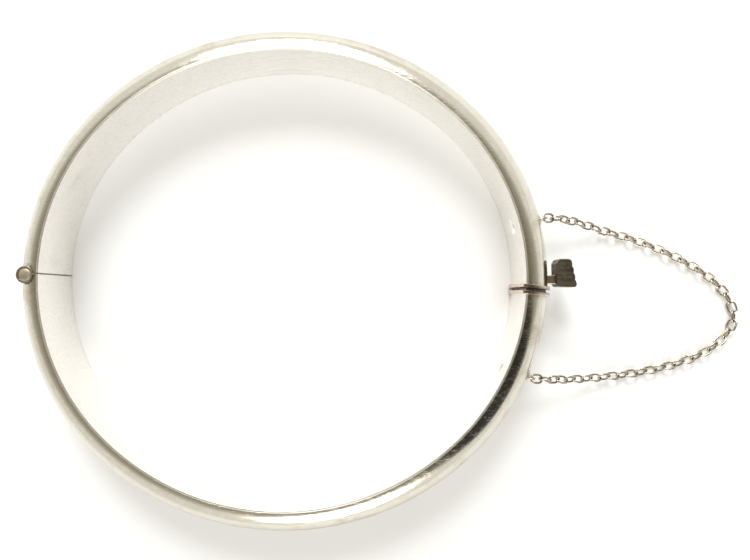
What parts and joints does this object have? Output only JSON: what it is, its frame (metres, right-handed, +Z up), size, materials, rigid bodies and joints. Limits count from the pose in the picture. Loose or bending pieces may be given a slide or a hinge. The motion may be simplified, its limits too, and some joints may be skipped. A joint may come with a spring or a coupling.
{
  "type": "hinged bangle bracelet",
  "caption": "Oval hinged hollow bangle with a domed outside, flat lining, box-and-tongue clasp with a grooved thumb-piece and a trace-link safety chain.",
  "frame": {"origin": "centre of the wrist opening, on the rim that the bangle lies on", "axes": "+X towards the clasp, -X to the hinge, +Z up through the wrist opening"},
  "size_m": [0.091, 0.0619, 0.008],
  "materials": {
    "shell_silver": "polished silver, worn and softly tarnished",
    "lining_silver": "brushed silver lining with fine scratches",
    "rose_silver": "polished silver with a warm copper tint",
    "spring_silver": "rolled hard silver strip",
    "chain_silver": "drawn wire, polished",
    "pin_silver": "dark worn wire"
  },
  "bodies": {
    "upper_half": {"upper_shell": "shell_silver", "upper_lining": "lining_silver", "upper_knuckle_top": "shell_silver", "upper_knuckle_bottom": "shell_silver", "hinge_pin": "pin_silver", "upper_hinge_seat": "shell_silver", "upper_end_plate": "rose_silver", "clasp_box": "spring_silver", "upper_chain_eye": "shell_silver", "upper_eye_rivet": "lining_silver"},
    "lower_half": {"lower_shell": "shell_silver", "lower_lining": "lining_silver", "lower_knuckle": "shell_silver", "lower_hinge_seat": "shell_silver", "lower_end_plate": "rose_silver", "tongue_strip": "spring_silver", "lower_chain_eye": "shell_silver", "lower_eye_rivet": "lining_silver"},
    "thumb_lever": {"spring_leaf": "spring_silver", "thumb_piece": "rose_silver"},
    "chain_upper_links_01_pair": {"chain_upper_links_01": "chain_silver"},
    "chain_upper_links_02_pair": {"chain_upper_links_02": "chain_silver"},
    "chain_upper_links_03_pair": {"chain_upper_links_03": "chain_silver"},
    "chain_upper_links_04_pair": {"chain_upper_links_04": "chain_silver"},
    "chain_upper_links_05_pair": {"chain_upper_links_05": "chain_silver"},
    "chain_upper_links_06_pair": {"chain_upper_links_06": "chain_silver"},
    "chain_upper_links_07_pair": {"chain_upper_links_07": "chain_silver"},
    "chain_upper_links_08_pair": {"chain_upper_links_08": "chain_silver"},
    "chain_upper_links_09_pair": {"chain_upper_links_09": "chain_silver"},
    "chain_upper_links_10_pair": {"chain_upper_links_10": "chain_silver"},
    "chain_upper_links_11_pair": {"chain_upper_links_11": "chain_silver"},
    "chain_upper_links_12_pair": {"chain_upper_links_12": "chain_silver"},
    "chain_middle": {"chain_middle_link": "chain_silver"},
    "chain_lower_links_01_pair": {"chain_lower_links_01": "chain_silver"},
    "chain_lower_links_02_pair": {"chain_lower_links_02": "chain_silver"},
    "chain_lower_links_03_pair": {"chain_lower_links_03": "chain_silver"},
    "chain_lower_links_04_pair": {"chain_lower_links_04": "chain_silver"},
    "chain_lower_links_05_pair": {"chain_lower_links_05": "chain_silver"},
    "chain_lower_links_06_pair": {"chain_lower_links_06": "chain_silver"},
    "chain_lower_links_07_pair": {"chain_lower_links_07": "chain_silver"},
    "chain_lower_links_08_pair": {"chain_lower_links_08": "chain_silver"},
    "chain_lower_links_09_pair": {"chain_lower_links_09": "chain_silver"},
    "chain_lower_links_10_pair": {"chain_lower_links_10": "chain_silver"},
    "chain_lower_links_11_pair": {"chain_lower_links_11": "chain_silver"},
    "chain_lower_links_12_pair": {"chain_lower_links_12": "chain_silver"}
  },
  "joints": [
    {"name": "band_hinge", "type": "hinge", "parent": "upper_half", "child": "lower_half", "pos_m": [-0.0307, 0.00036, 0.004], "axis": [0, 0, -1], "range_deg": [0, 21]},
    {"name": "thumb_press", "type": "hinge", "parent": "lower_half", "child": "thumb_lever", "pos_m": [0.02991, 0.00355, 0.004], "axis": [0, 0, -1], "range_deg": [0, 5.5], "stiffness_Nm_per_rad": 0.05},
    {"name": "chain_upper_links_01_swivel", "type": "hinge", "parent": "upper_half", "child": "chain_upper_links_01_pair", "pos_m": [0.03254, 0.00762, 0.004], "axis": [0, 0, 1], "range_deg": [-51.61, 0.5]},
    {"name": "chain_upper_links_02_swivel", "type": "hinge", "parent": "upper_half", "child": "chain_upper_links_02_pair", "pos_m": [0.03226, 0.00772, 0.00312], "axis": [0, 0, 1], "range_deg": [-45.32, 0.5]},
    {"name": "chain_upper_links_03_swivel", "type": "hinge", "parent": "upper_half", "child": "chain_upper_links_03_pair", "pos_m": [0.03184, 0.00789, 0.00217], "axis": [0, 0, 1], "range_deg": [-41.38, 0.5]},
    {"name": "chain_upper_links_04_swivel", "type": "hinge", "parent": "upper_half", "child": "chain_upper_links_04_pair", "pos_m": [0.03165, 0.00797, 0.00134], "axis": [0, 0, 1], "range_deg": [-40.32, 0.5]},
    {"name": "chain_upper_links_05_swivel", "type": "hinge", "parent": "chain_upper_links_04_pair", "child": "chain_upper_links_05_pair", "pos_m": [0.04164, 0.00615, 0.00078], "axis": [0, 0, 1], "range_deg": [-0.5, 0.76]},
    {"name": "chain_upper_links_06_swivel", "type": "hinge", "parent": "chain_upper_links_04_pair", "child": "chain_upper_links_06_pair", "pos_m": [0.04388, 0.00555, 0.00053], "axis": [0, 0, 1], "range_deg": [-0.5, 2.85]},
    {"name": "chain_upper_links_07_swivel", "type": "hinge", "parent": "chain_upper_links_04_pair", "child": "chain_upper_links_07_pair", "pos_m": [0.04511, 0.00515, 0.0005], "axis": [0, 0, 1], "range_deg": [-0.5, 5]},
    {"name": "chain_upper_links_08_swivel", "type": "hinge", "parent": "chain_upper_links_04_pair", "child": "chain_upper_links_08_pair", "pos_m": [0.04619, 0.00476, 0.00053], "axis": [0, 0, 1], "range_deg": [-0.5, 6.87]},
    {"name": "chain_upper_links_09_swivel", "type": "hinge", "parent": "chain_upper_links_08_pair", "child": "chain_upper_links_09_pair", "pos_m": [0.05104, 0.00262, 0.00052], "axis": [0, 0, 1], "range_deg": [-0.5, 2.56]},
    {"name": "chain_upper_links_10_swivel", "type": "hinge", "parent": "chain_upper_links_08_pair", "child": "chain_upper_links_10_pair", "pos_m": [0.05236, 0.00189, 0.00052], "axis": [0, 0, 1], "range_deg": [-0.5, 5.7]},
    {"name": "chain_upper_links_11_swivel", "type": "hinge", "parent": "chain_upper_links_08_pair", "child": "chain_upper_links_11_pair", "pos_m": [0.05382, 0.00097, 0.00052], "axis": [0, 0, 1], "range_deg": [-0.5, 10.65]},
    {"name": "chain_upper_links_12_swivel", "type": "hinge", "parent": "chain_upper_links_11_pair", "child": "chain_upper_links_12_pair", "pos_m": [0.05698, -0.00194, 0.00052], "axis": [0, 0, 1], "range_deg": [-0.5, 7.38]},
    {"name": "chain_middle_link_swivel", "type": "hinge", "parent": "chain_upper_links_11_pair", "child": "chain_middle", "pos_m": [0.05767, -0.00335, 0.00052], "axis": [0, 0, 1], "range_deg": [-0.5, 19.15]},
    {"name": "chain_lower_links_01_swivel", "type": "hinge", "parent": "lower_half", "child": "chain_lower_links_01_pair", "pos_m": [0.03085, -0.0125, 0.004], "axis": [0, 0, 1], "range_deg": [-0.5, 48.01]},
    {"name": "chain_lower_links_02_swivel", "type": "hinge", "parent": "lower_half", "child": "chain_lower_links_02_pair", "pos_m": [0.03079, -0.01251, 0.00334], "axis": [0, 0, 1], "range_deg": [-0.5, 46.71]},
    {"name": "chain_lower_links_03_swivel", "type": "hinge", "parent": "lower_half", "child": "chain_lower_links_03_pair", "pos_m": [0.03062, -0.01256, 0.00242], "axis": [0, 0, 1], "range_deg": [-0.5, 45.03]},
    {"name": "chain_lower_links_04_swivel", "type": "hinge", "parent": "lower_half", "child": "chain_lower_links_04_pair", "pos_m": [0.03036, -0.01263, 0.00158], "axis": [0, 0, 1], "range_deg": [-0.5, 43.42]},
    {"name": "chain_lower_links_05_swivel", "type": "hinge", "parent": "chain_lower_links_04_pair", "child": "chain_lower_links_05_pair", "pos_m": [0.04019, -0.01273, 0.001], "axis": [0, 0, 1], "range_deg": [-1.84, 0.5]},
    {"name": "chain_lower_links_06_swivel", "type": "hinge", "parent": "chain_lower_links_04_pair", "child": "chain_lower_links_06_pair", "pos_m": [0.04157, -0.01264, 0.00066], "axis": [0, 0, 1], "range_deg": [-3.38, 0.5]},
    {"name": "chain_lower_links_07_swivel", "type": "hinge", "parent": "chain_lower_links_04_pair", "child": "chain_lower_links_07_pair", "pos_m": [0.04295, -0.0125, 0.00051], "axis": [0, 0, 1], "range_deg": [-5.17, 0.5]},
    {"name": "chain_lower_links_08_swivel", "type": "hinge", "parent": "chain_lower_links_04_pair", "child": "chain_lower_links_08_pair", "pos_m": [0.04421, -0.01233, 0.0005], "axis": [0, 0, 1], "range_deg": [-6.88, 0.5]},
    {"name": "chain_lower_links_09_swivel", "type": "hinge", "parent": "chain_lower_links_08_pair", "child": "chain_lower_links_09_pair", "pos_m": [0.05009, -0.01111, 0.00052], "axis": [0, 0, 1], "range_deg": [-2.66, 0.5]},
    {"name": "chain_lower_links_10_swivel", "type": "hinge", "parent": "chain_lower_links_08_pair", "child": "chain_lower_links_10_pair", "pos_m": [0.05156, -0.01063, 0.00052], "axis": [0, 0, 1], "range_deg": [-6.12, 0.5]},
    {"name": "chain_lower_links_11_swivel", "type": "hinge", "parent": "chain_lower_links_08_pair", "child": "chain_lower_links_11_pair", "pos_m": [0.053, -0.01002, 0.00052], "axis": [0, 0, 1], "range_deg": [-10.7, 0.5]},
    {"name": "chain_lower_links_12_swivel", "type": "hinge", "parent": "chain_lower_links_11_pair", "child": "chain_lower_links_12_pair", "pos_m": [0.05667, -0.00757, 0.00052], "axis": [0, 0, 1], "range_deg": [-4.42, 0.5]}
  ],
  "couplings": [
    {"joint": "chain_upper_links_01_swivel", "follows": "band_hinge", "ratio": -2.4339},
    {"joint": "chain_upper_links_02_swivel", "follows": "band_hinge", "ratio": -2.1341},
    {"joint": "chain_upper_links_03_swivel", "follows": "band_hinge", "ratio": -1.9466},
    {"joint": "chain_upper_links_04_swivel", "follows": "band_hinge", "ratio": -1.8961},
    {"joint": "chain_upper_links_05_swivel", "follows": "band_hinge", "ratio": 0.0123},
    {"joint": "chain_upper_links_06_swivel", "follows": "band_hinge", "ratio": 0.1119},
    {"joint": "chain_upper_links_07_swivel", "follows": "band_hinge", "ratio": 0.2144},
    {"joint": "chain_upper_links_08_swivel", "follows": "band_hinge", "ratio": 0.3033},
    {"joint": "chain_upper_links_09_swivel", "follows": "band_hinge", "ratio": 0.0983},
    {"joint": "chain_upper_links_10_swivel", "follows": "band_hinge", "ratio": 0.2476},
    {"joint": "chain_upper_links_11_swivel", "follows": "band_hinge", "ratio": 0.4835},
    {"joint": "chain_upper_links_12_swivel", "follows": "band_hinge", "ratio": 0.3278},
    {"joint": "chain_middle_link_swivel", "follows": "band_hinge", "ratio": 0.8879},
    {"joint": "chain_lower_links_01_swivel", "follows": "band_hinge", "ratio": 2.2624},
    {"joint": "chain_lower_links_02_swivel", "follows": "band_hinge", "ratio": 2.2004},
    {"joint": "chain_lower_links_03_swivel", "follows": "band_hinge", "ratio": 2.1205},
    {"joint": "chain_lower_links_04_swivel", "follows": "band_hinge", "ratio": 2.0438},
    {"joint": "chain_lower_links_05_swivel", "follows": "band_hinge", "ratio": -0.0639},
    {"joint": "chain_lower_links_06_swivel", "follows": "band_hinge", "ratio": -0.1374},
    {"joint": "chain_lower_links_07_swivel", "follows": "band_hinge", "ratio": -0.2224},
    {"joint": "chain_lower_links_08_swivel", "follows": "band_hinge", "ratio": -0.3039},
    {"joint": "chain_lower_links_09_swivel", "follows": "band_hinge", "ratio": -0.103},
    {"joint": "chain_lower_links_10_swivel", "follows": "band_hinge", "ratio": -0.2677},
    {"joint": "chain_lower_links_11_swivel", "follows": "band_hinge", "ratio": -0.4857},
    {"joint": "chain_lower_links_12_swivel", "follows": "band_hinge", "ratio": -0.1867}
  ]
}
